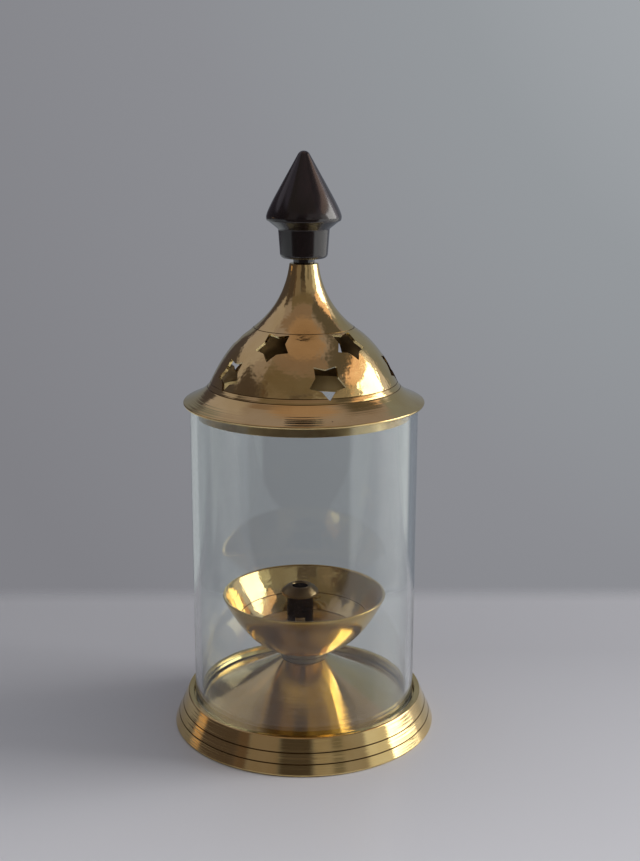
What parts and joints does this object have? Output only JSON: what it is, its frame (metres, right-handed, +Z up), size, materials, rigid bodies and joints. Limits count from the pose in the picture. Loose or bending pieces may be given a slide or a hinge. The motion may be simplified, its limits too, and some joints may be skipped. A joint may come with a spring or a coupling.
{
  "type": "akhand diya",
  "caption": "Covered brass oil lamp: flared base, oil cup on a conical pedestal, loose wick holder, glass chimney, and a star-pierced lid with a turned wooden finial.",
  "frame": {"origin": "centre of the base ring's underside, on the surface the lamp stands on", "axes": "+Z up along the lamp's axis, -Y towards the front, +X to the viewer's right"},
  "size_m": [0.0916, 0.0916, 0.198],
  "materials": {
    "polished_brass": "turned and polished, with fine lathe lines",
    "dull_brass": "turned, tarnished",
    "screw_brass": "plain machined",
    "clear_glass": "clear drawn tube with melted ends",
    "rosewood": "turned and lacquered"
  },
  "bodies": {
    "base": {"base_ring": "polished_brass", "pedestal": "polished_brass", "neck_bead": "dull_brass", "cup": "polished_brass", "cup_screw": "screw_brass", "cup_washer": "screw_brass"},
    "wick_holder": {"wick_holder": "dull_brass"},
    "chimney": {"chimney": "clear_glass"},
    "lid": {"lid_dome": "polished_brass", "lid_collar": "dull_brass", "finial": "rosewood", "finial_screw": "screw_brass"}
  },
  "joints": [
    {"name": "wick_holder_lift", "type": "slide", "parent": "base", "child": "wick_holder", "axis": [0, 0, 1], "range_m": [0, 0.06]},
    {"name": "chimney_lift", "type": "slide", "parent": "base", "child": "chimney", "axis": [0, 0, 1], "range_m": [0, 0.08]},
    {"name": "lid_lift", "type": "slide", "parent": "chimney", "child": "lid", "axis": [0, 0, 1], "range_m": [0, 0.06]}
  ]
}
